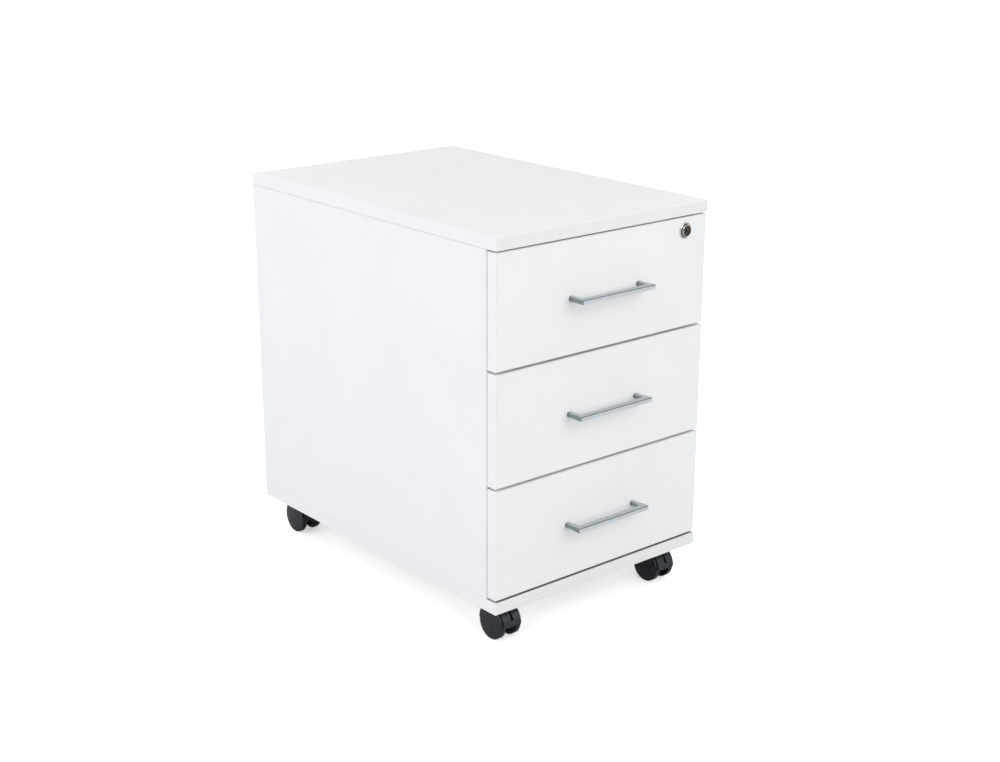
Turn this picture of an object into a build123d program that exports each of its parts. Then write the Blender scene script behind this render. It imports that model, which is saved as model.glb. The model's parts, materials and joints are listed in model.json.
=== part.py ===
"""Three-drawer mobile pedestal of white laminate-faced board.

Frame: millimetres, +Z up, drawer fronts face -Y, +X to the right as seen from the front.
The origin is at the centre of the bounding box's bottom face, on the floor.
"""
from build123d import *
from math import cos, radians, sin
import os

# ---- overall size -------------------------------------------------------------------------
WIDTH = 400.0
DEPTH = 595.0             # top and bottom boards
CASTER_HEIGHT = 60.0
BODY_HEIGHT = 540.0
BOARD = 18.0
EDGE_R = 0.8              # rounding of the edge banding
HEAD_LAP = 0.2            # how far each screw shank runs into its head

# ---- cam fittings between the boards --------------------------------------------------------
CAM_R = 7.5
CAM_DEPTH = 12.5
CAM_SETBACK = 24.0        # cam centre from the top or bottom board
CAM_FROM_FRONT = 50.0
CAM_FROM_BACK = 60.0
CAM_SLOT_DEPTH = 1.5
CAM_SLOT_HALF = 4.0
CAM_SLOT_WIDTH = 1.6
BOLT_R = 3.0
BOLT_BITE = 11.0
BOLT_CLEAR = 0.2          # between a bolt's end and its cam

# ---- drawer fronts and handles --------------------------------------------------------------
FRONT_SETBACK = 1.5       # fronts behind the edge of the top board
FRONT_SIDE_INSET = 1.0    # fronts narrower than the carcass, each side
GAP_TOP = 2.4             # above the top front
GAP_BETWEEN = 3.6
GAP_BOTTOM = 3.0          # under the bottom front
DRAWERS = 3
BUMPER_GAP = 0.5          # between the back of a front and the side boards
HANDLE_LENGTH = 138.0
HANDLE_REACH = 30.0
HANDLE_DROP = 0.9         # bar centre below the middle of the front
BAR_HEIGHT = 6.4
BAR_DEPTH = 10.0
BAR_EDGE_R = 0.4
FOOT_R = 4.4
FOOT_DROP = 0.5           # foot centre below the bar centre
HANDLE_PITCH = 128.0      # between the two screws
HANDLE_SCREW_R = 2.0
HANDLE_SCREW_BITE = 12.0
SCREW_HEAD_R = 4.0
SCREW_HEAD_T = 2.4
RECESS_HALF = 2.2         # cross recess in a screw head
RECESS_WIDTH = 0.9
RECESS_DEPTH = 1.2

# ---- drawer boxes ---------------------------------------------------------------------------
BOX_LENGTH = 500.0
BOX_HEIGHT = 110.0
BOX_LIFT = 14.0           # box bottom above the lower edge of the front
BOX_WALL = 12.0
BOX_EDGE_R = 1.0
BOTTOM_T = 4.0
BOTTOM_LIFT = 10.0        # drawer bottom above the lower edge of the box
BOTTOM_END_GAP = 1.0
GROOVE = 6.0
TRAVEL = 390.0

# ---- slides ---------------------------------------------------------------------------------
SLIDE_GAP = 12.5          # box side to carcass side
SLIDE_START = 2.0         # behind the front edge of the side board
SLIDE_H = 35.0
SLIDE_LIFT = 40.0         # slide centre above the box bottom
STEEL = 1.2
SLIDE_PLAY = 0.5
FLANGE_LAP = 0.2          # flanges of the cabinet member past the web of the drawer member
SLIDE_SCREW_Y = (37.0, 261.0, 453.0)
BOX_SCREW_Y = (60.0, 400.0)
SLIDE_HEAD_R = 3.4
SLIDE_HEAD_T = 1.6
SLIDE_SHANK_R = 1.8
SLIDE_SCREW_BITE = 14.0
BOX_SCREW_BITE = 9.0
STOP_BLOCK = 8.0          # stop block length and reach
STOP_BLOCK_HALF = 6.0
STOP_PLAY = 0.3

# ---- central lock ---------------------------------------------------------------------------
LOCK_X = 156.0
LOCK_DROP = 19.6          # below the upper edge of the top front
COLLAR_R = 12.0
COLLAR_T = 1.9            # height of the flange at its inner edge
BEZEL_R = 9.4             # raised ring around the plug
BEZEL_T = 4.4
BARREL_R = 9.0
BARREL_TAIL = 4.5         # barrel behind the back of the front
PLUG_R = 7.0
PLUG_FACE = 2.4           # plug face ahead of the drawer front
RUNNING_FIT = 0.05
KEYWAY_WIDTH = 1.8
KEYWAY_HALF = 4.4
KEYHOLE_R = 1.9
KEYWAY_DEPTH = 6.0
NUT_R = 12.5              # across the corners of the hexagon, halved
NUT_T = 3.0
CAM_GAP = 5.5             # lock cam behind the back of the front
LOCK_CAM_T = 2.0
LOCK_CAM_RIM = 1.0        # cam disc past the eccentric pin
THROW_R = 9.0             # eccentric pin about the plug axis
THROW_PIN_R = 2.5
THROW_PIN_REACH = 12.0    # end of the pin behind the front of the cam
LOCK_HALF_TURN = 45.0     # the pin goes from this far below the axis to as far above
DRIVER_GAP = 4.0          # driver plate behind the cam
DRIVER_HALF = 7.0
DRIVER_EDGE = 0.5         # driver's free edge from the lock axis
SLOT_PLAY = 0.5           # each side of the pin
ROD_Y = 36.0              # rod centre behind the edge of the top board
ROD_WIDTH = 14.0
ROD_T = 5.7
ROD_PLAY = 0.3
ROD_FOOT = 5.0            # lower end of the rod above the bottom board
ROD_HEAD = 18.0           # upper end below the top board
ROD_GROOVE_DEPTH = 6.5
STOP_PIN_R = 3.0
STOP_PIN_LIFT = 76.0      # stop pin above the box bottom, unlocked
STOP_PIN_REACH = 10.0     # pin beyond the inner face of the side board
STOP_PIN_ROOT = 3.0
CATCH_LIFT = 82.0
CATCH_H = 14.0
CATCH_LENGTH = 12.0
CATCH_GAP = 1.5           # between a stop pin and the catch behind it
CATCH_INSET = 4.0         # catch short of the side board
CATCH_R = 1.5
GUIDE_Z = (100.0, 220.0, 400.0, 528.0)
GUIDE_HEIGHT = 10.0
GUIDE_T = 1.5
GUIDE_LAP = 5.0

# ---- casters --------------------------------------------------------------------------------
CASTER_SPOTS = {"front_left": (-1, -1), "front_right": (1, -1), "rear_left": (-1, 1), "rear_right": (1, 1)}
WHEEL_R = 25.0
WHEEL_WIDTH = 10.5
CASTER_WIDTH = 40.2
CASTER_INSET_X = 44.4
WHEEL_INSET_Y = 42.4      # wheel centre from the front and the rear edge
TRAIL = 14.0
DOME = 2.2                # domed face beyond the tread
RIM_R = 23.6              # edge of the domed face
HUB_FLAT_R = 4.0
HUB_R = 7.0
HUB_CAP = 1.6             # material over the end of the axle
RECESS_R = 20.5
RECESS_T = 5.5
HOOD_R = 28.2
HOOD_INNER_R = 26.8
HOOD_HALF = 15.8
HOOD_DROP = 0.8           # lower edge of the hood below the axle
WEB_HALF = 4.5
HOOD_HUB_HALF = 9.0
SPLIT_HALF = 1.7          # slot over the middle of the hood
SPLIT_END = 10.5          # round end of the slot above the axle
SPLIT_END_R = 2.7
SPLIT_DEPTH = 4.5
AXLE_R = 3.0
AXLE_END = 2.1            # axle end inside the domed face
PIN_R = 5.0
PIN_END = 36.0            # lower end of the swivel pin above the floor
BEARING_R = 8.2
BEARING_FOOT = 9.0        # bearing tube above the axle
COLLAR_SHELL_R = 11.0
SWIVEL_PLAY = 0.3         # between hood and plate
PLATE = 42.0
PLATE_T = 2.5
PLATE_R = 5.0
PLATE_PITCH = 31.0
PLATE_SCREW_R = 2.1
PLATE_HEAD_T = 2.0
PLATE_SCREW_BITE = 12.0

# ---- derived --------------------------------------------------------------------------------
handle_overhang = HANDLE_REACH - FRONT_SETBACK
y_front = -(DEPTH - handle_overhang) / 2
y_back = y_front + DEPTH
x_in = WIDTH / 2 - BOARD
z_bay = CASTER_HEIGHT + BOARD
z_top = CASTER_HEIGHT + BODY_HEIGHT
z_ceiling = z_top - BOARD
y_face = y_front + FRONT_SETBACK
y_face_back = y_face + BOARD
y_side = y_face_back + BUMPER_GAP
front_h = (z_ceiling - z_bay - GAP_TOP - GAP_BOTTOM - GAP_BETWEEN * (DRAWERS - 1)) / DRAWERS
front_half = WIDTH / 2 - FRONT_SIDE_INSET
box_half = x_in - SLIDE_GAP
y_box_end = y_face_back + BOX_LENGTH
cam_ys = (y_side + CAM_FROM_FRONT, y_back - CAM_FROM_BACK)
lock_z = z_ceiling - GAP_TOP - LOCK_DROP
rod_lift = 2 * THROW_R * sin(radians(LOCK_HALF_TURN))
rod_y = y_front + ROD_Y
cam_y = y_face_back + CAM_GAP
plate_z = CASTER_HEIGHT - PLATE_T


def slab(x, y, z):
    """Box between the given pairs of limits."""
    size = [max(v) - min(v) for v in (x, y, z)]
    centre = [(v[0] + v[1]) / 2 for v in (x, y, z)]
    return Pos(*centre) * Box(*size)


def board(x, y, z, edges=None):
    """Laminated board with banded, slightly rounded edges."""
    body = slab(x, y, z)
    chosen = body.edges() if edges is None else body.edges().filter_by(edges)
    return fillet(chosen, EDGE_R)


def rod_x(radius, x, y, z):
    """Cylinder along X between two x limits."""
    return Pos((x[0] + x[1]) / 2, y, z) * Rot(0, 90, 0) * Cylinder(radius, x[1] - x[0])


def rod_along_y(radius, x, y, z):
    """Cylinder along Y between two y limits."""
    return Pos(x, (y[0] + y[1]) / 2, z) * Rot(90, 0, 0) * Cylinder(radius, y[1] - y[0])


def rod_z(radius, x, y, z):
    """Cylinder along Z between two z limits."""
    return Pos(x, y, (z[0] + z[1]) / 2) * Cylinder(radius, z[1] - z[0])


def mirrored(solid):
    """The same piece on the other side of the cabinet."""
    return mirror(solid, about=Plane.YZ)


nodes = {}


def keep(name, *solids):
    """File one node, made of one or more separate solids."""
    found = [s for piece in solids for s in piece.solids()]
    nodes[name] = found[0] if len(found) == 1 else Compound(found)


def front_z(index):
    """Lower edge of a drawer front; drawer 1 is the top one."""
    return z_bay + GAP_BOTTOM + (DRAWERS - index) * (front_h + GAP_BETWEEN)


# ---- carcass ----------------------------------------------------------------------------------
def panel_joints(side):
    """Cam housings and bolts that join one side board to the top and bottom boards."""
    cams = []
    bolts = []
    for y in cam_ys:
        for cam_z, out in ((z_ceiling - CAM_SETBACK, 1), (z_bay + CAM_SETBACK, -1)):
            faces = sorted((side * x_in, side * (x_in + CAM_DEPTH)))
            cam = rod_x(CAM_R, faces, y, cam_z)
            slot = slab(
                (side * x_in - CAM_SLOT_DEPTH, side * x_in + CAM_SLOT_DEPTH),
                (y - CAM_SLOT_HALF, y + CAM_SLOT_HALF),
                (cam_z - CAM_SLOT_WIDTH / 2, cam_z + CAM_SLOT_WIDTH / 2),
            )
            cams.append(cam - slot)
            reach = sorted((cam_z + out * (CAM_R + BOLT_CLEAR), cam_z + out * (CAM_SETBACK + BOLT_BITE)))
            bolts.append(rod_z(BOLT_R, side * (x_in + BOARD / 2), y, reach))
    return cams, bolts


def side_board(side, cams, bolts):
    """One side board with its fitting pockets."""
    x = sorted((side * x_in, side * WIDTH / 2))
    body = board(x, (y_side, y_back), (z_bay, z_ceiling), Axis.Z)
    for y in cam_ys:
        for cam_z in (z_ceiling - CAM_SETBACK, z_bay + CAM_SETBACK):
            body -= rod_x(CAM_R, sorted((side * x_in, side * (x_in + CAM_DEPTH))), y, cam_z)
    for bolt in bolts:
        body -= bolt
    return body


def slide_z(index):
    """Height of a drawer's slide centre."""
    return front_z(index) + BOX_LIFT + SLIDE_LIFT


def slide_screw(index, y):
    """Pan-head screw that holds a cabinet slide member to the right side board."""
    z = slide_z(index)
    head = rod_x(SLIDE_HEAD_R, (x_in - STEEL - SLIDE_HEAD_T, x_in - STEEL), y, z)
    shank = rod_x(SLIDE_SHANK_R, (x_in - STEEL - HEAD_LAP, x_in + SLIDE_SCREW_BITE), y, z)
    return head + shank


def cabinet_slide(index):
    """Outer C-section on the right side board, with a stop block inside and a rear lip."""
    z = slide_z(index)
    y = (y_side + SLIDE_START, y_side + SLIDE_START + BOX_LENGTH)
    deep = (box_half + STEEL - FLANGE_LAP, x_in)
    body = slab((x_in - STEEL, x_in), y, (z - SLIDE_H / 2, z + SLIDE_H / 2))
    body += slab(deep, y, (z + SLIDE_H / 2 - STEEL, z + SLIDE_H / 2))
    body += slab(deep, y, (z - SLIDE_H / 2, z - SLIDE_H / 2 + STEEL))
    body += slab(deep, (y[1], y[1] + STEEL), (z - SLIDE_H / 2, z + SLIDE_H / 2))
    stop_end = y[1] - STEEL - SLIDE_PLAY - TRAVEL - STOP_PLAY
    body += slab(
        (x_in - STOP_BLOCK, x_in - STEEL),
        (stop_end - STOP_BLOCK, stop_end),
        (z - STOP_BLOCK_HALF, z + STOP_BLOCK_HALF),
    )
    for screw_y in SLIDE_SCREW_Y:
        body -= rod_x(SLIDE_SHANK_R, (x_in - STEEL, x_in), y_side + screw_y, z)
    return body


def drawer_slide(index):
    """Inner C-section on the right face of the drawer box, with a rear stop tab."""
    z = slide_z(index)
    half = SLIDE_H / 2 - STEEL - SLIDE_PLAY
    y = (y_side + SLIDE_START, y_side + SLIDE_START + BOX_LENGTH - SLIDE_PLAY)
    deep = (box_half, x_in - STEEL - SLIDE_PLAY - SLIDE_HEAD_T)
    body = slab((box_half, box_half + STEEL), y, (z - half, z + half))
    body += slab(deep, y, (z + half - STEEL, z + half))
    body += slab(deep, y, (z - half, z - half + STEEL))
    body += slab(deep, (y[1] - STEEL, y[1]), (z - half, z + half))
    for screw_y in BOX_SCREW_Y:
        body -= rod_x(SLIDE_SHANK_R, (box_half, box_half + STEEL), y_side + screw_y, z)
    return body


def stop_pin_z(index):
    """Unlocked height of the rod's stop pin for one drawer."""
    return front_z(index) + BOX_LIFT + STOP_PIN_LIFT


def build_carcass():
    drawers = range(1, DRAWERS + 1)
    left_cams, left_bolts = panel_joints(-1)
    right_cams, right_bolts = panel_joints(1)
    bolts = left_bolts + right_bolts
    full_x = (-WIDTH / 2, WIDTH / 2)
    top = board(full_x, (y_front, y_back), (z_ceiling, z_top))
    bottom = board(full_x, (y_front, y_back), (CASTER_HEIGHT, z_bay))
    for bolt in bolts:
        top -= bolt
        bottom -= bolt
    plate_screws = caster_screws()
    for screw in plate_screws:
        bottom -= screw
    screws = [slide_screw(i, y_side + y) for i in drawers for y in SLIDE_SCREW_Y]
    right = side_board(1, right_cams, right_bolts)
    left = side_board(-1, left_cams, left_bolts)
    right -= slab(
        (x_in, x_in + ROD_GROOVE_DEPTH),
        (rod_y - ROD_WIDTH / 2 - ROD_PLAY, rod_y + ROD_WIDTH / 2 + ROD_PLAY),
        (z_bay, z_ceiling),
    )
    for screw in screws:
        right -= screw
        left -= mirrored(screw)
    guides = [rod_guide(z) for z in GUIDE_Z]
    keep("top_panel", top)
    keep("bottom_panel", bottom)
    keep("left_side_panel", left)
    keep("right_side_panel", right)
    keep("back_panel", slab((-x_in, x_in), (y_back - BOARD, y_back), (z_bay, z_ceiling)))
    keep("panel_fittings", *left_cams, *right_cams, *bolts)
    slides = [cabinet_slide(i) for i in drawers]
    keep("cabinet_slides", *slides, *[mirrored(s) for s in slides])
    keep("slide_screws", *screws, *[mirrored(s) for s in screws])
    keep("lock_rod_guides", *guides)
    keep("caster_screws", *plate_screws)


# ---- central lock -----------------------------------------------------------------------------
def rod_guide(z):
    """Strap over the rod's groove in the right side board."""
    return slab(
        (x_in - GUIDE_T, x_in),
        (rod_y - ROD_WIDTH / 2 - GUIDE_LAP, rod_y + ROD_WIDTH / 2 + GUIDE_LAP),
        (z, z + GUIDE_HEIGHT),
    )


def build_lock_rod():
    """Sliding rod with its riveted stop pins, and the slotted driver that the lock lifts."""
    x_face = x_in + ROD_PLAY
    rod_span = (rod_y - ROD_WIDTH / 2, rod_y + ROD_WIDTH / 2)
    rod = slab((x_face, x_face + ROD_T), rod_span, (z_bay + ROD_FOOT, z_ceiling - ROD_HEAD))
    for index in range(1, DRAWERS + 1):
        rod += rod_x(STOP_PIN_R, (x_in - STOP_PIN_REACH, x_face + STOP_PIN_ROOT), rod_y, stop_pin_z(index))
    slot_z = lock_z - rod_lift / 2
    driver_y = cam_y + LOCK_CAM_T + DRIVER_GAP
    driver_z = (slot_z - DRIVER_HALF, slot_z + DRIVER_HALF)
    driver = slab((LOCK_X + DRIVER_EDGE, x_face), (driver_y, driver_y + LOCK_CAM_T), driver_z)
    driver += slab((x_face - LOCK_CAM_T, x_face), (driver_y, rod_span[1]), driver_z)
    slot_half = THROW_PIN_R + SLOT_PLAY
    throw_x = (LOCK_X + THROW_R * cos(radians(LOCK_HALF_TURN)), LOCK_X + THROW_R)
    driver -= slab(
        (throw_x[0] - slot_half, throw_x[1] + slot_half),
        (driver_y, driver_y + LOCK_CAM_T),
        (slot_z - slot_half, slot_z + slot_half),
    )
    keep("lock_rod", rod)
    keep("lock_rod_driver", driver)


def lock_housing():
    """Flange, raised bezel and threaded barrel, turned about the lock's axis."""
    bore = PLUG_R + RUNNING_FIT
    tail = -(BOARD + BARREL_TAIL)
    outline = [
        (bore, BEZEL_T - 1.2),
        (bore + 0.9, BEZEL_T),
        (BEZEL_R - 0.8, BEZEL_T),
        (BEZEL_R, BEZEL_T - 0.8),
        (BEZEL_R, COLLAR_T - 0.9),
        (BEZEL_R + 0.5, COLLAR_T - 0.9),
        (BEZEL_R + 0.9, COLLAR_T),
        (COLLAR_R - 0.7, COLLAR_T - 0.3),
        (COLLAR_R, COLLAR_T - 1.1),
        (COLLAR_R, 0.0),
        (BARREL_R, 0.0),
        (BARREL_R, tail),
        (bore, tail),
    ]
    wire = Polyline(*[(r, -reach) for r, reach in outline], close=True)
    return Pos(LOCK_X, y_face, lock_z) * revolve(make_face(Plane.XY * wire), Axis.Y, 360)


def lock_nut():
    """Hexagon nut that clamps the barrel to the back of the front."""
    prism = extrude(RegularPolygon(NUT_R, 6), NUT_T / 2, both=True)
    prism = Pos(LOCK_X, y_face_back + NUT_T / 2, lock_z) * Rot(90, 0, 0) * prism
    return prism - rod_along_y(BARREL_R, LOCK_X, (y_face_back, y_face_back + NUT_T), lock_z)


def lock_plug():
    """Turning plug with its keyway, which reaches back to the cam."""
    face = y_face - PLUG_FACE
    key = (face - 1.0, face + KEYWAY_DEPTH)
    half = KEYWAY_WIDTH / 2
    plug = rod_along_y(PLUG_R, LOCK_X, (face, cam_y), lock_z)
    plug -= slab((LOCK_X - half, LOCK_X + half), key, (lock_z - KEYWAY_HALF, lock_z + KEYWAY_HALF))
    return plug - rod_along_y(KEYHOLE_R, LOCK_X, key, lock_z)


def lock_cam():
    """Disc on the plug's rear end with the eccentric pin that works the driver."""
    angle = radians(-LOCK_HALF_TURN)
    pin_x = LOCK_X + THROW_R * cos(angle)
    pin_z = lock_z + THROW_R * sin(angle)
    disc_r = THROW_R + THROW_PIN_R + LOCK_CAM_RIM
    disc = rod_along_y(disc_r, LOCK_X, (cam_y, cam_y + LOCK_CAM_T), lock_z)
    return disc + rod_along_y(THROW_PIN_R, pin_x, (cam_y + LOCK_CAM_T / 2, cam_y + THROW_PIN_REACH), pin_z)


def build_lock():
    keep("lock_housing", lock_housing())
    keep("lock_nut", lock_nut())
    keep("lock_plug", lock_plug())
    keep("lock_cam", lock_cam())


# ---- drawers ----------------------------------------------------------------------------------
def handle_body(z):
    """Bar handle: a rectangular bar on two legs that turn into round feet."""
    half = HANDLE_LENGTH / 2
    tip = y_face - HANDLE_REACH
    body = slab((-half, half), (tip, tip + BAR_DEPTH), (z - BAR_HEIGHT / 2, z + BAR_HEIGHT / 2))
    for side in (-1, 1):
        foot = Plane(origin=(side * (half - FOOT_R), y_face, z), x_dir=(1, 0, 0), z_dir=(0, -1, 0))
        round_end = foot * Pos(0, -FOOT_DROP, 0) * Circle(FOOT_R)
        bar_end = foot * Pos(0, 0, HANDLE_REACH - BAR_DEPTH) * Rectangle(2 * FOOT_R, BAR_HEIGHT)
        body += loft([round_end, bar_end])
    return fillet(body.edges().group_by(Axis.Y)[0], BAR_EDGE_R)


def handle_screw(x, z):
    """Machine screw from inside the drawer front into a handle foot."""
    head = rod_along_y(SCREW_HEAD_R, x, (y_face_back, y_face_back + SCREW_HEAD_T), z)
    shank = rod_along_y(HANDLE_SCREW_R, x, (y_face - HANDLE_SCREW_BITE, y_face_back + HEAD_LAP), z)
    depth = (y_face_back + SCREW_HEAD_T - RECESS_DEPTH, y_face_back + SCREW_HEAD_T)
    wide = RECESS_HALF
    thin = RECESS_WIDTH / 2
    cross = slab((x - wide, x + wide), depth, (z - thin, z + thin))
    cross += slab((x - thin, x + thin), depth, (z - wide, z + wide))
    return head + shank - cross


def drawer_front(index, cuts):
    """Front board with the groove for the drawer bottom, less the screws through it."""
    z0 = front_z(index)
    inner = box_half - BOX_WALL
    groove_z = z0 + BOX_LIFT + BOTTOM_LIFT
    front = board((-front_half, front_half), (y_face, y_face_back), (z0, z0 + front_h))
    front -= slab((-inner, inner), (y_face_back - GROOVE, y_face_back), (groove_z, groove_z + BOTTOM_T))
    for cut in cuts:
        front -= cut
    if index == 1:
        front -= rod_along_y(BARREL_R, LOCK_X, (y_face, y_face_back), lock_z)
    return front


def box_side(z):
    """Right side board of a drawer box, grooved for the bottom."""
    x = (box_half - BOX_WALL, box_half)
    body = slab(x, (y_face_back, y_box_end), (z, z + BOX_HEIGHT))
    body = fillet(body.edges().filter_by(Axis.Y).group_by(Axis.Z)[-1], BOX_EDGE_R)
    bottom_z = z + BOTTOM_LIFT
    groove = slab((x[0], x[0] + GROOVE), (y_face_back, y_box_end), (bottom_z, bottom_z + BOTTOM_T))
    return body - groove


def box_bottom(z):
    """Thin bottom board, held in the grooves of the sides and of the front."""
    inner = box_half - BOX_WALL
    wide = inner + GROOVE
    bottom = slab((-wide, wide), (y_face_back, y_box_end - BOTTOM_END_GAP), (z, z + BOTTOM_T))
    return bottom + slab((-inner, inner), (y_face_back - GROOVE, y_face_back), (z, z + BOTTOM_T))


def box_back(z, top):
    """Rear board of a drawer box, standing on the bottom."""
    inner = box_half - BOX_WALL
    return slab((-inner, inner), (y_box_end - BOX_WALL, y_box_end), (z, top))


def box_screw(index, y):
    """Pan-head screw that holds a drawer slide member to the right side of the box."""
    z = slide_z(index)
    web = box_half + STEEL
    head = rod_x(SLIDE_HEAD_R, (web, web + SLIDE_HEAD_T), y_side + y, z)
    shank = rod_x(SLIDE_SHANK_R, (box_half - BOX_SCREW_BITE, web + HEAD_LAP), y_side + y, z)
    return head + shank


def lock_catch(z_box):
    """Block on the box side that the raised stop pin holds back."""
    y = rod_y + STOP_PIN_R + CATCH_GAP
    z = z_box + CATCH_LIFT
    catch = slab((box_half, x_in - CATCH_INSET), (y, y + CATCH_LENGTH), (z, z + CATCH_H))
    return fillet(catch.edges().filter_by(Axis.X), CATCH_R)


def build_drawer(index):
    """Front, box, handle, slide members and lock catch of one drawer."""
    name = f"drawer_{index}"
    z_box = front_z(index) + BOX_LIFT
    z_handle = front_z(index) + front_h / 2 - HANDLE_DROP
    z_bottom = z_box + BOTTOM_LIFT
    screws = [handle_screw(x, z_handle) for x in (-HANDLE_PITCH / 2, HANDLE_PITCH / 2)]
    handle = handle_body(z_handle)
    for screw in screws:
        handle -= screw
    slide_bolts = [box_screw(index, y) for y in BOX_SCREW_Y]
    right = box_side(z_box)
    for bolt in slide_bolts:
        right -= bolt
    slide = drawer_slide(index)
    keep(f"{name}_front", drawer_front(index, screws))
    keep(f"{name}_side_left", mirrored(right))
    keep(f"{name}_side_right", right)
    keep(f"{name}_back", box_back(z_bottom + BOTTOM_T, z_box + BOX_HEIGHT))
    keep(f"{name}_bottom", box_bottom(z_bottom))
    keep(f"{name}_handle", handle)
    keep(f"{name}_screws", *screws, *slide_bolts, *[mirrored(b) for b in slide_bolts])
    keep(f"{name}_slides", slide, mirrored(slide))
    keep(f"{name}_catch", lock_catch(z_box))


# ---- casters ----------------------------------------------------------------------------------
def swivel_point(side, end):
    """Plan position of a caster's swivel axis."""
    edge = y_front if end < 0 else y_back
    return side * (WIDTH / 2 - CASTER_INSET_X), edge - end * (WHEEL_INSET_Y + TRAIL)


def plate_holes(cx, cy):
    """Centres of the four screws of one caster plate."""
    half = PLATE_PITCH / 2
    return [(cx + dx, cy + dy) for dx in (-half, half) for dy in (-half, half)]


def caster_screws():
    """Four wood screws up through each caster plate into the bottom board."""
    screws = []
    for side, end in CASTER_SPOTS.values():
        for x, y in plate_holes(*swivel_point(side, end)):
            head = rod_z(SCREW_HEAD_R, x, y, (plate_z - PLATE_HEAD_T, plate_z))
            shank = rod_z(PLATE_SCREW_R, x, y, (plate_z - HEAD_LAP, CASTER_HEIGHT + PLATE_SCREW_BITE))
            screws.append(head + shank)
    return screws


def caster_plate(cx, cy):
    """Mounting plate with its riveted swivel pin."""
    plate = Pos(cx, cy, plate_z + PLATE_T / 2) * Box(PLATE, PLATE, PLATE_T)
    plate = fillet(plate.edges().filter_by(Axis.Z), PLATE_R)
    plate += rod_z(PIN_R, cx, cy, (PIN_END, plate_z + PLATE_T / 2))
    for x, y in plate_holes(cx, cy):
        plate -= rod_z(PLATE_SCREW_R, x, y, (plate_z, CASTER_HEIGHT))
    return plate


def disc_x(radius, half):
    """Disc about the local X axis."""
    return rod_x(radius, (-half, half), 0, 0)


def hood_slot():
    """Narrow slot over the crown of the hood, with a round lower end."""
    ring = disc_x(HOOD_R + 1, SPLIT_HALF) - disc_x(HOOD_R - SPLIT_DEPTH, SPLIT_HALF)
    sector = slab((-SPLIT_HALF, SPLIT_HALF), (SPLIT_DEPTH, HOOD_R + 1), (SPLIT_END, HOOD_R + 1))
    return ring & sector


def caster_hood():
    """Moulded hood about the axle, wheels behind the swivel axis along local +Y."""
    top_z = plate_z - SWIVEL_PLAY - WHEEL_R
    hood = disc_x(HOOD_R, HOOD_HALF) - disc_x(HOOD_INNER_R, HOOD_HALF) + disc_x(HOOD_R - 1, WEB_HALF)
    hood -= slab((-HOOD_R, HOOD_R), (-2 * HOOD_R, 2 * HOOD_R), (-2 * HOOD_R, -HOOD_DROP))
    hood += disc_x(HUB_R, HOOD_HUB_HALF)
    collar = rod_z(COLLAR_SHELL_R, 0, -TRAIL, (TRAIL, top_z)) - disc_x(HOOD_R - 1, COLLAR_SHELL_R + 1)
    hood += rod_z(BEARING_R, 0, -TRAIL, (BEARING_FOOT, top_z)) + collar
    hood -= rod_z(PIN_R + RUNNING_FIT, 0, -TRAIL, (PIN_END - WHEEL_R - 0.5, top_z + 1))
    hood -= hood_slot()
    hood -= rod_along_y(SPLIT_END_R, 0, (HOOD_R - SPLIT_DEPTH - 2, HOOD_R + 1), SPLIT_END)
    return hood - disc_x(AXLE_R, HOOD_HUB_HALF + 1)


def caster_wheel():
    """Right-hand wheel about local X, with a domed outer face and a hollow inner side."""
    x0 = CASTER_WIDTH / 2 - WHEEL_WIDTH
    x1 = CASTER_WIDTH / 2
    bore = AXLE_R + RUNNING_FIT
    rim_x = x1 - 0.75 * DOME
    rim_turn = (WHEEL_R - 0.45, x1 - 0.98 * DOME)
    tread_edge = (WHEEL_R, x1 - DOME - 1.0)
    dome = ThreePointArc((RIM_R, rim_x), ((RIM_R + HUB_FLAT_R) / 2, x1 - 0.5), (HUB_FLAT_R, x1))
    edge = ThreePointArc(tread_edge, rim_turn, (RIM_R, rim_x))
    inner = Polyline(
        (HUB_FLAT_R, x1),
        (0, x1),
        (0, x1 - HUB_CAP),
        (bore, x1 - HUB_CAP),
        (bore, x0),
        (HUB_R, x0),
        (HUB_R, x0 + RECESS_T),
        (RECESS_R, x0 + RECESS_T),
        (RECESS_R + 1, x0),
        (WHEEL_R - 0.6, x0),
        (WHEEL_R, x0 + 0.6),
        tread_edge,
    )
    section = make_face(Wire([*dome.edges(), *edge.edges(), *inner.edges()]))
    return Rot(0, 0, -90) * revolve(section, Axis.Y, 360)


def build_casters():
    """Four twin-wheel casters, wheels outboard of the swivel axes at rest."""
    hood = caster_hood()
    wheel = caster_wheel()
    axle = disc_x(AXLE_R, CASTER_WIDTH / 2 - AXLE_END)
    plates = []
    for name, (side, end) in CASTER_SPOTS.items():
        cx, cy = swivel_point(side, end)
        plates.append(caster_plate(cx, cy))
        place = Pos(cx, cy + end * TRAIL, WHEEL_R)
        keep(f"caster_{name}_hood", place * Rot(0, 0, 0 if end > 0 else 180) * hood)
        keep(f"caster_{name}_axle", place * axle)
        keep(f"caster_{name}_wheel_left", place * Rot(0, 0, 180) * wheel)
        keep(f"caster_{name}_wheel_right", place * wheel)
    keep("caster_plates", *plates)


build_carcass()
build_lock_rod()
build_lock()
for drawer in range(1, DRAWERS + 1):
    build_drawer(drawer)
build_casters()

os.makedirs("parts", exist_ok=True)
for node_name, shape in nodes.items():
    export_step(shape, f"parts/{node_name}.step")
print(len(nodes), "nodes")
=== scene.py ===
"""Looks for the white laminate mobile pedestal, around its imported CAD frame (metres, +Z up, front -Y)."""
import json
import bmesh
import bpy
from mathutils import Matrix, Vector


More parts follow.
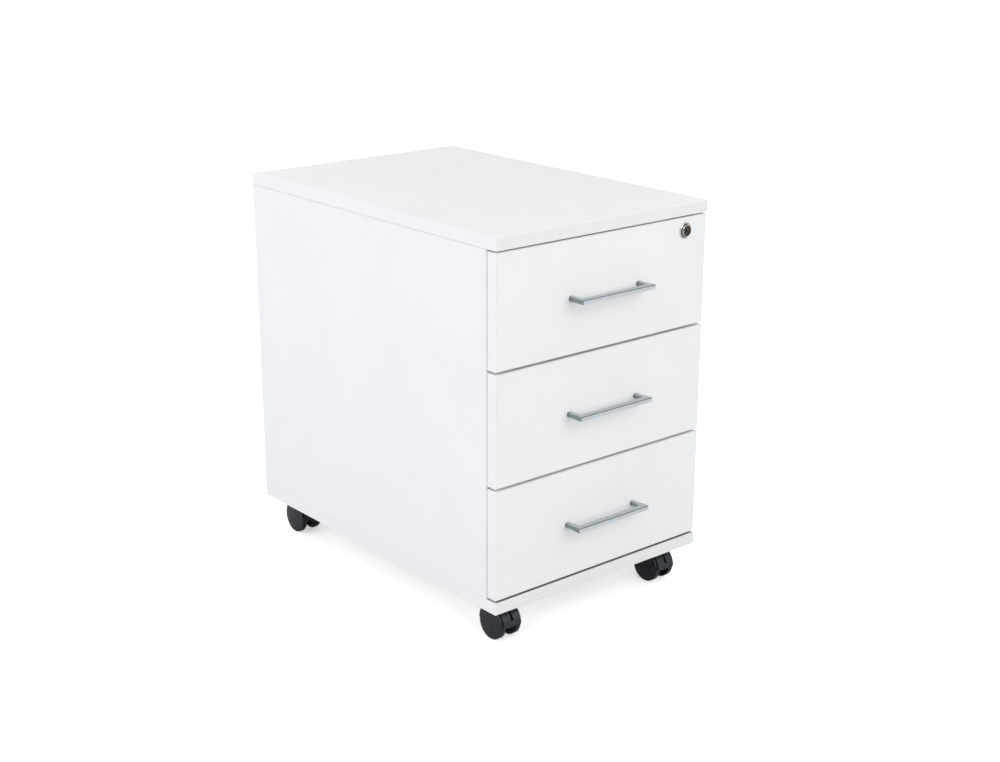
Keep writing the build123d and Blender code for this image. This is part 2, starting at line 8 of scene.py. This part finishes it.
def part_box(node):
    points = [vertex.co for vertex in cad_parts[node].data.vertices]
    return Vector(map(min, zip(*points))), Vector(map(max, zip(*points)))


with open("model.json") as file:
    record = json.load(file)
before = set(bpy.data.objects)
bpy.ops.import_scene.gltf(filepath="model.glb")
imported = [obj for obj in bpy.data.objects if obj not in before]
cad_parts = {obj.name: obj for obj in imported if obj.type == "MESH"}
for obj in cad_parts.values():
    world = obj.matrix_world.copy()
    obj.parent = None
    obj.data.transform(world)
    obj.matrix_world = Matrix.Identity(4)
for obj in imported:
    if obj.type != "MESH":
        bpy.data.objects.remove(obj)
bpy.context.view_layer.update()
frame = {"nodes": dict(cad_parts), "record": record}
nodes = frame["nodes"]


# ---- node helpers -----------------------------------------------------------------------------
MIX_A, MIX_B, MIX_RESULT = 6, 7, 2  # the Mix node's colour sockets, by index
SQUARE_ON = (0.9, 0.98)  # normal component over which a face comes to count as square to an axis
NOISE_MIDDLE = (0.3, 0.7)  # where most of a noise's values lie


class Shader:
    """A material with its Principled shader, and short calls that add and join nodes."""

    def __init__(self, name):
        self.material = bpy.data.materials.new(name)
        self.material.use_nodes = True
        self.tree = self.material.node_tree
        self.tree.nodes.clear()
        self.out = self.tree.nodes.new("ShaderNodeOutputMaterial")
        self.bsdf = self.tree.nodes.new("ShaderNodeBsdfPrincipled")
        self.tree.links.new(self.bsdf.outputs["BSDF"], self.out.inputs["Surface"])
        coordinates = self.tree.nodes.new("ShaderNodeTexCoord")
        self.place = coordinates.outputs["Object"]

    def set(self, **values):
        """Fixed values on the shader's own sockets."""
        for name, value in values.items():
            self.bsdf.inputs[name.replace("_", " ")].default_value = value

    def link(self, source, target):
        self.tree.links.new(source, target)

    def feed(self, node, index, value):
        """Put a number, a vector or another node's output into one input."""
        if isinstance(value, bpy.types.NodeSocket):
            self.link(value, node.inputs[index])
        elif value is not None:
            node.inputs[index].default_value = value

    def math(self, operation, a, b=None):
        node = self.tree.nodes.new("ShaderNodeMath")
        node.operation = operation
        for index, value in enumerate((a, b)):
            self.feed(node, index, value)
        return node.outputs[0]

    def scaled(self, factors):
        """Object coordinates stretched along the axes."""
        return self.tinted(self.place, factors)

    def noise(self, scale, detail=3.0, roughness=0.55, where=None):
        """Cloudy noise, in object coordinates unless told otherwise."""
        node = self.tree.nodes.new("ShaderNodeTexNoise")
        self.link(where or self.place, node.inputs["Vector"])
        node.inputs["Scale"].default_value = scale
        node.inputs["Detail"].default_value = detail
        node.inputs["Roughness"].default_value = roughness
        return node.outputs["Fac"]

    def cells(self, scale):
        """Distance to the nearest of many scattered points."""
        node = self.tree.nodes.new("ShaderNodeTexVoronoi")
        self.link(self.place, node.inputs["Vector"])
        node.inputs["Scale"].default_value = scale
        return node.outputs["Distance"]

    def ramp(self, value, low, high, to_low=0.0, to_high=1.0):
        """Map one range of a value onto another."""
        node = self.tree.nodes.new("ShaderNodeMapRange")
        self.link(value, node.inputs["Value"])
        ends = {"From Min": low, "From Max": high, "To Min": to_low, "To Max": to_high}
        for name, number in ends.items():
            node.inputs[name].default_value = number
        return node.outputs["Result"]

    def fade(self, value, low, high, start=1.0):
        """Full up to the low end of a range, and nothing past its high end."""
        return self.ramp(value, low, high, start, 0.0)

    def vary(self, noise, low, high):
        """Spread the middle of a noise over a range."""
        return self.ramp(noise, *NOISE_MIDDLE, low, high)

    def either_way(self, component, low, high):
        """1 on faces that look along an axis, in either direction."""
        return self.ramp(self.math("ABSOLUTE", component), low, high)

    def mix(self, factor, a, b):
        """Blend two colours."""
        node = self.tree.nodes.new("ShaderNodeMix")
        node.data_type = "RGBA"
        self.link(factor, node.inputs["Factor"])
        self.feed(node, MIX_A, a)
        self.feed(node, MIX_B, b)
        return node.outputs[MIX_RESULT]

    def tinted(self, vector, factors):
        """Multiply a colour or a vector by fixed factors."""
        node = self.tree.nodes.new("ShaderNodeVectorMath")
        node.operation = "MULTIPLY"
        self.link(vector, node.inputs[0])
        node.inputs[1].default_value = factors[:3]
        return node.outputs[0]

    def dimmed(self, colour, factor):
        """Multiply a colour by a varying number."""
        node = self.tree.nodes.new("ShaderNodeVectorMath")
        node.operation = "SCALE"
        self.link(colour, node.inputs[0])
        self.link(factor, node.inputs["Scale"])
        return node.outputs[0]

    def bump(self, height, strength, distance, normal=None):
        node = self.tree.nodes.new("ShaderNodeBump")
        node.inputs["Strength"].default_value = strength
        node.inputs["Distance"].default_value = distance
        self.link(height, node.inputs["Height"])
        if normal is not None:
            self.link(normal, node.inputs["Normal"])
        return node.outputs["Normal"]

    def axes(self, vector=None):
        """X, Y and Z of a vector, or of the place in object coordinates."""
        node = self.tree.nodes.new("ShaderNodeSeparateXYZ")
        self.link(vector or self.place, node.inputs[0])
        return node.outputs

    def face_normal(self):
        """X, Y and Z of the true normal."""
        return self.axes(self.tree.nodes.new("ShaderNodeNewGeometry").outputs["True Normal"])

    def colour(self, socket):
        self.link(socket, self.bsdf.inputs["Base Color"])

    def roughness(self, socket):
        self.link(socket, self.bsdf.inputs["Roughness"])

    def normal(self, socket):
        self.link(socket, self.bsdf.inputs["Normal"])


def rgba(r, g, b):
    return (r, g, b, 1.0)


# ---- boards -----------------------------------------------------------------------------------
WHITE = rgba(0.775, 0.783, 0.797)
WHITE_DULL = rgba(0.760, 0.768, 0.784)
BOX_WHITE = rgba(0.74, 0.75, 0.76)
BOX_DULL = rgba(0.72, 0.73, 0.745)
BOARD_ROUGH = 0.36
BOX_ROUGH = 0.42
EDGE_TINT = rgba(0.94, 0.96, 0.925)
SEAM = rgba(0.42, 0.42, 0.42)
SEAM_WEAR = (0.45, 0.9)  # least and most that the seam shows along its length
BAND = 0.0009  # thickness of the edge banding
SEAM_WIDTH = 0.00022  # off the seam, full up to half of this and gone at all of it

GAP_SHADE = rgba(0.20, 0.185, 0.17)  # painted shade of the gap under the lowest drawer front; part of the board, so it also shows with the drawers out
FRONT_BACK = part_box("drawer_1_front")[1][1]
FRONT_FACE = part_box("drawer_1_front")[0][1]
FRONT_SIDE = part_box("drawer_1_front")[1][0]
GAP_SHADE_START = (0.0004, 0.0012)  # behind the fronts' outer face
GAP_SHADE_STOP = 0.002  # past the fronts' inner face
GAP_SHADE_ENDS = (0.004, 0.001)  # short of the fronts' side edges


def gap_shade_under_fronts(s, place, facing):
    """Painted shade on the strip of the bottom board's top face that the drawer fronts stand over."""
    up = s.ramp(facing[2], *SQUARE_ON)
    behind = s.ramp(place[1], *(FRONT_FACE + start for start in GAP_SHADE_START))
    ahead = s.fade(place[1], FRONT_BACK, FRONT_BACK + GAP_SHADE_STOP)
    inside = s.fade(s.math("ABSOLUTE", place[0]), *(FRONT_SIDE - end for end in GAP_SHADE_ENDS))
    return s.math("MULTIPLY", s.math("MULTIPLY", up, inside), s.math("MULTIPLY", behind, ahead))


def banding_seam(s, place, facing, low, high, thin):
    """The hairline on a board's broad faces where its edge banding starts."""
    to_edge = None
    for axis in range(3):
        if axis == thin:
            continue
        near = s.math("SUBTRACT", place[axis], low[axis])
        far = s.math("SUBTRACT", high[axis], place[axis])
        gap = s.math("MINIMUM", near, far)
        to_edge = gap if to_edge is None else s.math("MINIMUM", to_edge, gap)
    off_seam = s.math("ABSOLUTE", s.math("SUBTRACT", to_edge, BAND))
    on_line = s.fade(off_seam, SEAM_WIDTH / 2, SEAM_WIDTH)
    return s.math("MULTIPLY", on_line, s.either_way(facing[thin], *SQUARE_ON))


def laminate(node, white=WHITE, dull=WHITE_DULL, rough=BOARD_ROUGH):
    """White melamine board: faint mottle, orange-peel skin, and the fine seam of its edge banding."""
    low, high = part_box(node)
    size = high - low
    thin = min(range(3), key=lambda axis: size[axis])
    s = Shader(f"laminate_{node}")
    s.set(Specular_IOR_Level=0.42, IOR=1.5)
    place = s.axes()
    facing = s.face_normal()
    seam = banding_seam(s, place, facing, low, high, thin)
    worn = s.math("MULTIPLY", seam, s.vary(s.noise(60.0, detail=2.0), *SEAM_WEAR))
    mottle = s.noise(9.0, detail=4.0, roughness=0.6)
    board = s.mix(s.ramp(mottle, 0.35, 0.65), white, dull)
    if thin != 1:
        board = s.mix(s.either_way(facing[1], *SQUARE_ON), board, s.tinted(board, EDGE_TINT))
    # painted shade on the bottom board's top face under the lowest drawer front, so the gap below that front
    # looks dark
    if node == "bottom_panel":
        board = s.mix(gap_shade_under_fronts(s, place, facing), board, GAP_SHADE)
    s.colour(s.mix(worn, board, SEAM))
    smears = s.noise(5.0, detail=5.0, roughness=0.65, where=s.scaled((1.0, 1.0, 2.4)))
    s.roughness(s.vary(smears, rough - 0.05, rough + 0.07))
    peel = s.math("ADD", s.noise(700.0, detail=2.0), s.math("MULTIPLY", s.noise(2600.0, detail=1.0), 0.5))
    skin = s.bump(peel, strength=0.16, distance=0.00006)
    s.normal(s.bump(s.math("SUBTRACT", 1.0, seam), strength=0.4, distance=0.0001, normal=skin))
    return s.material


def hardboard(name):
    """White lacquered hardboard with a faint pressed fibre print."""
    s = Shader(name)
    fibres = s.noise(120.0, detail=5.0, roughness=0.7)
    s.colour(s.mix(fibres, rgba(0.72, 0.73, 0.74), rgba(0.77, 0.78, 0.79)))
    s.roughness(s.vary(s.noise(300.0), 0.42, 0.55))
    s.normal(s.bump(s.noise(500.0, detail=5.0, roughness=0.7), strength=0.3, distance=0.00008))
    return s.material


# ---- metals and plastics ----------------------------------------------------------------------
METAL_GRAIN = 900.0
GRAIN_SHARE, CLOUD_SHARE = 0.6, 0.4


def brushed(s, stretch):
    """Fine directional grain as bump, and the same grain mixed with a slow change of tone."""
    lines = s.noise(METAL_GRAIN, roughness=0.6, where=s.scaled(stretch))
    cloud = s.noise(25.0)
    s.normal(s.bump(lines, strength=0.12, distance=0.00004))
    tone = s.math("ADD", s.math("MULTIPLY", lines, GRAIN_SHARE), s.math("MULTIPLY", cloud, CLOUD_SHARE))
    return lines, tone


def satin_metal(name, base, light, rough, stretch=(1.0, 1.0, 1.0)):
    """Metal with a fine grain and a slow change of tone."""
    s = Shader(name)
    s.set(Metallic=1.0)
    lines, tone = brushed(s, stretch)
    s.colour(s.mix(tone, base, light))
    s.roughness(s.vary(lines, rough - 0.05, rough + 0.08))
    return s.material


# painted light and shade: lit and shaded tones of one metal for the bar's front, top and ends
HANDLE_FRONT_PAINTED_LIGHT = rgba(0.71, 0.76, 0.82)
HANDLE_TOP_PAINTED_SHADE = rgba(0.47, 0.51, 0.53)
HANDLE_END_PAINTED_SHADE = rgba(0.25, 0.29, 0.29)
HANDLE_PAINTED_SHADE = rgba(0.10, 0.125, 0.12)
HANDLE_TURN = (0.35, 0.75)  # normal component over which one side's tone gives way to the next
BAR_HALF = 0.0032  # half the bar's height
FOOT_REACH = 0.0049  # from the bar's middle down to the foot's lowest point
ARRIS = 0.0013  # width of the painted dark line on each side of the edge, a painted reflection along the rounded arris
ARRIS_CORE = 0.6  # share of that width at full strength; the rest fades out
ARRIS_SHADE = 0.85
FOOT_SHADE = 0.55
FOOT_FADE = (0.006, 0.001)  # distance from the drawer front over which a foot's painted shade sets in


def handle_metal(node):
    """Satin metal bar with painted light and shade: bright front, darker top and ends, a painted dark line
    along its upper front arris, and painted shade on the feet near the drawer front.
    """
    low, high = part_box(node)
    bar_top = low[2] + FOOT_REACH + BAR_HALF
    s = Shader(f"satin_{node}")
    s.set(Metallic=0.8)
    place = s.axes()
    facing = s.face_normal()
    lines, grain = brushed(s, (0.08, 1.0, 1.0))
    sideways = s.either_way(facing[0], *HANDLE_TURN)
    up = s.either_way(facing[2], *HANDLE_TURN)
    painted_faces = s.mix(sideways, s.mix(up, HANDLE_FRONT_PAINTED_LIGHT, HANDLE_TOP_PAINTED_SHADE), HANDLE_END_PAINTED_SHADE)
    # painted reflection: a dark line along the bar's upper front arris
    near_top = s.ramp(place[2], bar_top - ARRIS, bar_top - ARRIS_CORE * ARRIS)
    near_front = s.fade(place[1], low[1] + ARRIS_CORE * ARRIS, low[1] + ARRIS)
    arris = s.math("MULTIPLY", s.math("MULTIPLY", near_top, near_front), ARRIS_SHADE)
    # painted shade on the feet's sides close to the drawer front
    foot = s.math("MULTIPLY", s.ramp(place[1], *(high[1] - out for out in FOOT_FADE)), sideways)
    shaded = s.math("MAXIMUM", arris, s.math("MULTIPLY", foot, FOOT_SHADE))
    tone = s.vary(grain, 0.92, 1.06)
    s.colour(s.dimmed(s.mix(shaded, painted_faces, HANDLE_PAINTED_SHADE), tone))
    s.roughness(s.vary(lines, 0.30, 0.42))
    return s.material


LOCK_LIGHT = rgba(0.74, 0.71, 0.68)
LOCK_PAINTED_SHADE = rgba(0.035, 0.028, 0.022)
GROOVE_R = 0.00965  # middle of the groove's painted shade
GROOVE_FADE = (0.00025, 0.0006)  # off the groove's middle
GROOVE_SHADE = 0.95
BORE_R = 0.00775  # outer edge of the painted shade on the wall round the plug
BORE_FADE = 0.0003
BORE_SHADE = 0.97
PLUG_FADE = (0.0058, 0.006844)  # radii between which the plug's painted shade deepens to the bore's
PLUG_SHADE = 0.88


def lock_rings(node):
    """Nickel collar and plug: bright crests, with painted shade in the groove between them, on the wall down
    to the plug and on the plug's face.
    """
    low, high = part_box("lock_housing")
    s = Shader(f"nickel_{node}")
    s.set(Metallic=1.0)
    place = s.axes()
    across = s.math("SUBTRACT", place[0], (low[0] + high[0]) / 2)
    up = s.math("SUBTRACT", place[2], (low[2] + high[2]) / 2)
    reach = s.math("SQRT", s.math("ADD", s.math("MULTIPLY", across, across), s.math("MULTIPLY", up, up)))
    # painted shade in the groove, on the bore's wall and on the plug
    off_groove = s.math("ABSOLUTE", s.math("SUBTRACT", reach, GROOVE_R))
    groove = s.fade(off_groove, *GROOVE_FADE, GROOVE_SHADE)
    bore = s.fade(reach, BORE_R - BORE_FADE, BORE_R, BORE_SHADE)
    plug = s.ramp(reach, *PLUG_FADE, PLUG_SHADE, 1.0)
    shade = s.math("MAXIMUM", groove, s.math("MULTIPLY", bore, plug))
    tone = s.vary(s.noise(350.0), 0.88, 1.05)
    s.colour(s.dimmed(s.mix(shade, LOCK_LIGHT, LOCK_PAINTED_SHADE), tone))
    s.roughness(s.vary(s.noise(500.0, detail=2.0), 0.10, 0.20))
    s.normal(s.bump(s.noise(1800.0, detail=2.0), strength=0.08, distance=0.00003))
    return s.material


def moulded(
    name, base, light, rough, grain=1400.0, depth=0.00005, specular=0.5, specular_tint=(1.0, 1.0, 1.0)
):
    """Moulded plastic: fine spark-eroded grain, with a little dust and handling shine."""
    s = Shader(name)
    s.set(Specular_IOR_Level=specular, Specular_Tint=rgba(*specular_tint))
    cloud = s.noise(40.0, detail=4.0, roughness=0.6)
    s.colour(s.mix(s.ramp(cloud, 0.35, 0.7), base, light))
    s.roughness(s.vary(s.noise(90.0), rough - 0.06, rough + 0.08))
    texture = s.math("ADD", s.noise(grain, detail=2.0), s.math("MULTIPLY", s.cells(grain * 0.7), 0.5))
    s.normal(s.bump(texture, strength=0.25, distance=depth))
    return s.material


def powder_coat(name, base, light):
    """White powder coat on slide steel, with its slight orange peel."""
    s = Shader(name)
    s.set(Specular_IOR_Level=0.5)
    s.colour(s.mix(s.noise(30.0, detail=4.0), base, light))
    s.roughness(s.vary(s.noise(200.0, detail=2.0), 0.30, 0.42))
    s.normal(s.bump(s.noise(1500.0), strength=0.3, distance=0.00008))
    return s.material


# ---- which node wears what --------------------------------------------------------------------
COOL = (0.78, 0.90, 1.0)
MATERIALS = {
    "lock_nickel": lambda: lock_rings("lock_housing"),
    "lock_plug_metal": lambda: lock_rings("lock_plug"),
    "zinc_fitting": lambda: satin_metal(
        "zinc_fitting", rgba(0.52, 0.53, 0.55), rgba(0.62, 0.63, 0.65), rough=0.36
    ),
    "zinc_screw": lambda: satin_metal(
        "zinc_screw", rgba(0.52, 0.54, 0.57), rgba(0.64, 0.66, 0.68), rough=0.30
    ),
    "driver_steel": lambda: satin_metal(
        "driver_steel", rgba(0.46, 0.47, 0.49), rgba(0.56, 0.57, 0.59), rough=0.33
    ),
    "rod_aluminium": lambda: satin_metal(
        "rod_aluminium", rgba(0.62, 0.63, 0.65), rgba(0.70, 0.71, 0.73), rough=0.30, stretch=(1.0, 1.0, 0.05)
    ),
    "axle_steel": lambda: satin_metal(
        "axle_steel", rgba(0.45, 0.46, 0.48), rgba(0.55, 0.56, 0.58), rough=0.25
    ),
    "slide_steel": lambda: powder_coat("slide_steel", rgba(0.70, 0.71, 0.72), rgba(0.74, 0.75, 0.76)),
    "white_plastic": lambda: moulded(
        "white_plastic", rgba(0.72, 0.72, 0.71), rgba(0.76, 0.76, 0.75), rough=0.42
    ),
    "caster_plate_steel": lambda: moulded(
        "caster_plate", rgba(0.010, 0.010, 0.011), rgba(0.016, 0.016, 0.018),
        rough=0.42, grain=1100.0, specular=0.2
    ),
    "caster_hood_plastic": lambda: moulded(
        "caster_hood", rgba(0.004, 0.006, 0.009), rgba(0.008, 0.0105, 0.014),
        rough=0.27, grain=900.0, depth=0.00003, specular=0.75, specular_tint=COOL
    ),
    "caster_wheel_plastic": lambda: moulded(
        "caster_wheel", rgba(0.0025, 0.0035, 0.005), rgba(0.0055, 0.0065, 0.008),
        rough=0.30, grain=1200.0, depth=0.00004, specular=0.62, specular_tint=COOL
    ),
    "box_bottom_hdf": lambda: hardboard("box_bottom"),
}


def paint(node, material):
    """Give a CAD node one material on all its slots."""
    mesh = nodes[node].data
    if not mesh.materials:
        mesh.materials.append(material)
    for index in range(len(mesh.materials)):
        mesh.materials[index] = material


def dress_frame():
    """Materials for every CAD node, by its material slot in the record."""
    made = {}
    for part in frame["record"]["subparts"]:
        node, slot = part["node"], part["material_slot"]
        if slot == "white_laminate":
            paint(node, laminate(node))
        elif slot == "box_laminate":
            paint(node, laminate(node, BOX_WHITE, BOX_DULL, BOX_ROUGH))
        elif slot == "handle_satin_metal":
            paint(node, handle_metal(node))
        else:
            if slot not in made:
                made[slot] = MATERIALS[slot]()
            paint(node, made[slot])


# ---- stage, light and camera ------------------------------------------------------------------
PURE_WHITE = rgba(1.0, 1.0, 1.0)
FLOOR_SIZE = 60.0
FLOOR_FACE, FLOOR_GLOW = rgba(0.95, 0.95, 0.95), 0.46
BOUNCE_FACE, BOUNCE_DROP = rgba(0.55, 0.55, 0.55), 0.002
DOME_RADIUS = 0.49 * FLOOR_SIZE
DOME_GLOW = 1.02
WORLD_LIGHT = 0.62

LIGHT_TARGET = (0.0, 0.0, 0.3)
LIGHTS = (  # name, place, size, watts, tint
    ("left_key", (-4.5, 0.5, 2.1), (4.4, 3.6), 134.0, (0.975, 0.985, 1.0)),
    ("front_key", (0.2, -4.5, 2.4), (4.6, 4.4), 142.0, (1.0, 1.0, 0.985)),
    ("overhead", (0.0, 0.0, 3.0), (2.0, 2.0), 7.0, (0.965, 0.98, 1.0)),
    ("back_fill", (0.0, 4.5, 2.0), (4.4, 3.2), 56.0, (1.0, 1.0, 1.0)),
    ("right_fill", (4.5, 0.4, 2.0), (4.4, 3.2), 50.0, (1.0, 1.0, 1.0)),
)

CAMERA_PLACE = (-1.5215, -1.8639, 1.0715)
CAMERA_RIGHT = (0.76595, -0.64290, 0.00240)
CAMERA_UP = (0.19591, 0.23696, 0.95156)
CAMERA_LENS = 58.43
CAMERA_SENSOR = 36.0


def glowing(name, colour, rough, glow):
    """Matt material that also gives off white light of its own."""
    s = Shader(name)
    s.set(Base_Color=colour, Roughness=rough, Specular_IOR_Level=0.0)
    s.set(Emission_Color=PURE_WHITE, Emission_Strength=glow)
    return s.material


def floor_plane(name, height, colour, glow):
    """One large plane of the studio floor."""
    bpy.ops.mesh.primitive_plane_add(size=FLOOR_SIZE, location=(0, 0, height))
    plane = bpy.context.object
    plane.name = name
    plane.data.materials.append(glowing(name, colour, rough=0.9, glow=glow))
    return plane


def lift_from_light(stage_piece):
    """Let a stage piece be seen without lighting or shading the object."""
    stage_piece.visible_diffuse = False
    stage_piece.visible_glossy = False
    stage_piece.visible_shadow = False


def backdrop():
    """White dome behind the floor's far edge, so low views show no horizon."""
    mesh = bpy.data.meshes.new("studio_backdrop")
    shell = bmesh.new()
    bmesh.ops.create_uvsphere(shell, u_segments=48, v_segments=24, radius=DOME_RADIUS)
    shell.to_mesh(mesh)
    shell.free()
    dome = bpy.data.objects.new("studio_backdrop", mesh)
    bpy.context.scene.collection.objects.link(dome)
    mesh.materials.append(glowing("studio_backdrop", rgba(0.0, 0.0, 0.0), rough=1.0, glow=DOME_GLOW))
    lift_from_light(dome)


def build_stage():
    """Plain pale floor: a bright face for the view, and a greyer one below that lights the object."""
    face = floor_plane("studio_floor", 0.0, FLOOR_FACE, FLOOR_GLOW)
    lift_from_light(face)
    bounce = floor_plane("bounce_floor", -BOUNCE_DROP, BOUNCE_FACE, 0.0)
    bounce.visible_camera = False
    backdrop()


def build_world():
    """Even white light from all round."""
    world = bpy.data.worlds.new("studio")
    bpy.context.scene.world = world
    world.use_nodes = True
    background = world.node_tree.nodes["Background"]
    background.inputs["Color"].default_value = PURE_WHITE
    background.inputs["Strength"].default_value = WORLD_LIGHT


def build_lights():
    """Softboxes that all face the cabinet's middle."""
    for name, place, size, watts, tint in LIGHTS:
        data = bpy.data.lights.new(name, "AREA")
        data.shape = "RECTANGLE"
        data.size, data.size_y = size
        data.energy = watts
        data.color = tint
        lamp = bpy.data.objects.new(name, data)
        bpy.context.scene.collection.objects.link(lamp)
        lamp.location = place
        lamp.rotation_euler = (Vector(LIGHT_TARGET) - Vector(place)).to_track_quat("-Z", "Y").to_euler()


def build_camera():
    """The main view, from the front left and a little above."""
    data = bpy.data.cameras.new("camera")
    data.lens = CAMERA_LENS
    data.sensor_width = CAMERA_SENSOR
    camera = bpy.data.objects.new("camera", data)
    bpy.context.scene.collection.objects.link(camera)
    right, up = Vector(CAMERA_RIGHT).normalized(), Vector(CAMERA_UP)
    back = right.cross(up).normalized()
    up = back.cross(right)
    turn = Matrix((right, up, back)).transposed()
    camera.matrix_world = Matrix.Translation(CAMERA_PLACE) @ turn.to_4x4()
    bpy.context.scene.camera = camera


build_camera()
dress_frame()
build_stage()
build_world()
build_lights()
bpy.context.scene.view_settings.view_transform = "Standard"
